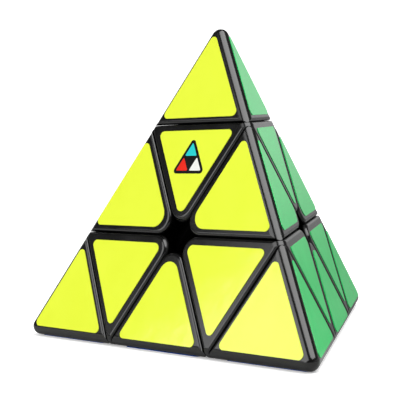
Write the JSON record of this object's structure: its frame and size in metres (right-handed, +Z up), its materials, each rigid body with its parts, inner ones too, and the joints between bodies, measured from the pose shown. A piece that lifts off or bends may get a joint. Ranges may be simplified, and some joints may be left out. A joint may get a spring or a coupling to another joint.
{
  "type": "pyramid twisty puzzle",
  "caption": "Tetrahedral twisty puzzle whose corner layers and tips turn about the axes through its corners, with stickered faces over a sprung ball-and-arm core.",
  "frame": {"origin": "centre of the core, where the four turning axes meet", "axes": "+Z up through the top corner, square to the base it rests on; the front face looks towards -Y and the back corner lies towards +Y"},
  "size_m": [0.0984, 0.086, 0.0813],
  "materials": {
    "black_abs": "moulded black ABS, semi-gloss",
    "core_plastic": "moulded nylon, matte",
    "steel": "zinc-plated steel",
    "spring_steel": "drawn spring wire",
    "yellow_vinyl": "printed vinyl, satin",
    "green_vinyl": "printed vinyl, satin",
    "red_vinyl": "printed vinyl, satin",
    "blue_vinyl": "printed vinyl, satin"
  },
  "bodies": {
    "core": {"core": "core_plastic", "core_screws": "steel", "spring_washers": "steel", "tension_springs": "spring_steel"},
    "axial_top": {"axial_shell_top": "black_abs", "axial_foot_top": "black_abs", "sticker_yellow_axial_top": "yellow_vinyl", "sticker_green_axial_top": "green_vinyl", "sticker_red_axial_top": "red_vinyl"},
    "tip_top": {"tip_top": "black_abs", "sticker_yellow_tip_top": "yellow_vinyl", "sticker_green_tip_top": "green_vinyl", "sticker_red_tip_top": "red_vinyl"},
    "axial_left": {"axial_shell_left": "black_abs", "axial_foot_left": "black_abs", "sticker_yellow_axial_left": "yellow_vinyl", "sticker_red_axial_left": "red_vinyl", "sticker_blue_axial_left": "blue_vinyl"},
    "tip_left": {"tip_left": "black_abs", "sticker_yellow_tip_left": "yellow_vinyl", "sticker_red_tip_left": "red_vinyl", "sticker_blue_tip_left": "blue_vinyl"},
    "axial_right": {"axial_shell_right": "black_abs", "axial_foot_right": "black_abs", "sticker_yellow_axial_right": "yellow_vinyl", "sticker_green_axial_right": "green_vinyl", "sticker_blue_axial_right": "blue_vinyl"},
    "tip_right": {"tip_right": "black_abs", "sticker_yellow_tip_right": "yellow_vinyl", "sticker_green_tip_right": "green_vinyl", "sticker_blue_tip_right": "blue_vinyl"},
    "axial_back": {"axial_shell_back": "black_abs", "axial_foot_back": "black_abs", "sticker_green_axial_back": "green_vinyl", "sticker_red_axial_back": "red_vinyl", "sticker_blue_axial_back": "blue_vinyl"},
    "tip_back": {"tip_back": "black_abs", "sticker_green_tip_back": "green_vinyl", "sticker_red_tip_back": "red_vinyl", "sticker_blue_tip_back": "blue_vinyl"},
    "edge_top_left": {"edge_top_left": "black_abs", "sticker_yellow_edge_top_left": "yellow_vinyl", "sticker_red_edge_top_left": "red_vinyl"},
    "edge_top_right": {"edge_top_right": "black_abs", "sticker_yellow_edge_top_right": "yellow_vinyl", "sticker_green_edge_top_right": "green_vinyl"},
    "edge_top_back": {"edge_top_back": "black_abs", "sticker_green_edge_top_back": "green_vinyl", "sticker_red_edge_top_back": "red_vinyl"},
    "edge_left_right": {"edge_left_right": "black_abs", "sticker_yellow_edge_left_right": "yellow_vinyl", "sticker_blue_edge_left_right": "blue_vinyl"},
    "edge_right_back": {"edge_right_back": "black_abs", "sticker_green_edge_right_back": "green_vinyl", "sticker_blue_edge_right_back": "blue_vinyl"},
    "edge_back_left": {"edge_back_left": "black_abs", "sticker_red_edge_back_left": "red_vinyl", "sticker_blue_edge_back_left": "blue_vinyl"}
  },
  "joints": [
    {"name": "layer_top", "type": "hinge", "parent": "core", "child": "axial_top", "pos_m": [0, 0, 0], "axis": [0, 0, 1], "range_deg": [-240, 120]},
    {"name": "tip_top_turn", "type": "hinge", "parent": "axial_top", "child": "tip_top", "pos_m": [0, 0, 0], "axis": [0, 0, 1], "continuous": true},
    {"name": "layer_left", "type": "hinge", "parent": "core", "child": "axial_left", "pos_m": [0, 0, 0], "axis": [-0.8165, -0.4714, -0.3333], "range_deg": [-240, 120]},
    {"name": "tip_left_turn", "type": "hinge", "parent": "axial_left", "child": "tip_left", "pos_m": [0, 0, 0], "axis": [-0.8165, -0.4714, -0.3333], "continuous": true},
    {"name": "layer_right", "type": "hinge", "parent": "core", "child": "axial_right", "pos_m": [0, 0, 0], "axis": [0.8165, -0.4714, -0.3333], "range_deg": [-240, 120]},
    {"name": "tip_right_turn", "type": "hinge", "parent": "axial_right", "child": "tip_right", "pos_m": [0, 0, 0], "axis": [0.8165, -0.4714, -0.3333], "continuous": true},
    {"name": "layer_back", "type": "hinge", "parent": "core", "child": "axial_back", "pos_m": [0, 0, 0], "axis": [0, 0.9428, -0.3333], "range_deg": [-240, 120]},
    {"name": "tip_back_turn", "type": "hinge", "parent": "axial_back", "child": "tip_back", "pos_m": [0, 0, 0], "axis": [0, 0.9428, -0.3333], "continuous": true},
    {"name": "edge_top_left_turn", "type": "hinge", "parent": "axial_top", "child": "edge_top_left", "pos_m": [0, 0, 0], "axis": [-0.8165, -0.4714, -0.3333], "range_deg": [-240, 120]},
    {"name": "edge_top_right_turn", "type": "hinge", "parent": "axial_top", "child": "edge_top_right", "pos_m": [0, 0, 0], "axis": [0.8165, -0.4714, -0.3333], "range_deg": [-240, 120]},
    {"name": "edge_top_back_turn", "type": "hinge", "parent": "axial_top", "child": "edge_top_back", "pos_m": [0, 0, 0], "axis": [0, 0.9428, -0.3333], "range_deg": [-240, 120]},
    {"name": "edge_left_right_turn", "type": "hinge", "parent": "axial_left", "child": "edge_left_right", "pos_m": [0, 0, 0], "axis": [0.8165, -0.4714, -0.3333], "range_deg": [-240, 120]},
    {"name": "edge_right_back_turn", "type": "hinge", "parent": "axial_right", "child": "edge_right_back", "pos_m": [0, 0, 0], "axis": [0, 0.9428, -0.3333], "range_deg": [-240, 120]},
    {"name": "edge_back_left_turn", "type": "hinge", "parent": "axial_back", "child": "edge_back_left", "pos_m": [0, 0, 0], "axis": [-0.8165, -0.4714, -0.3333], "range_deg": [-240, 120]}
  ],
  "couplings": [
    {"joint": "edge_top_left_turn", "follows": "layer_left", "ratio": 1},
    {"joint": "edge_top_right_turn", "follows": "layer_right", "ratio": 1},
    {"joint": "edge_top_back_turn", "follows": "layer_back", "ratio": 1},
    {"joint": "edge_left_right_turn", "follows": "layer_right", "ratio": 1},
    {"joint": "edge_right_back_turn", "follows": "layer_back", "ratio": 1},
    {"joint": "edge_back_left_turn", "follows": "layer_left", "ratio": 1}
  ]
}
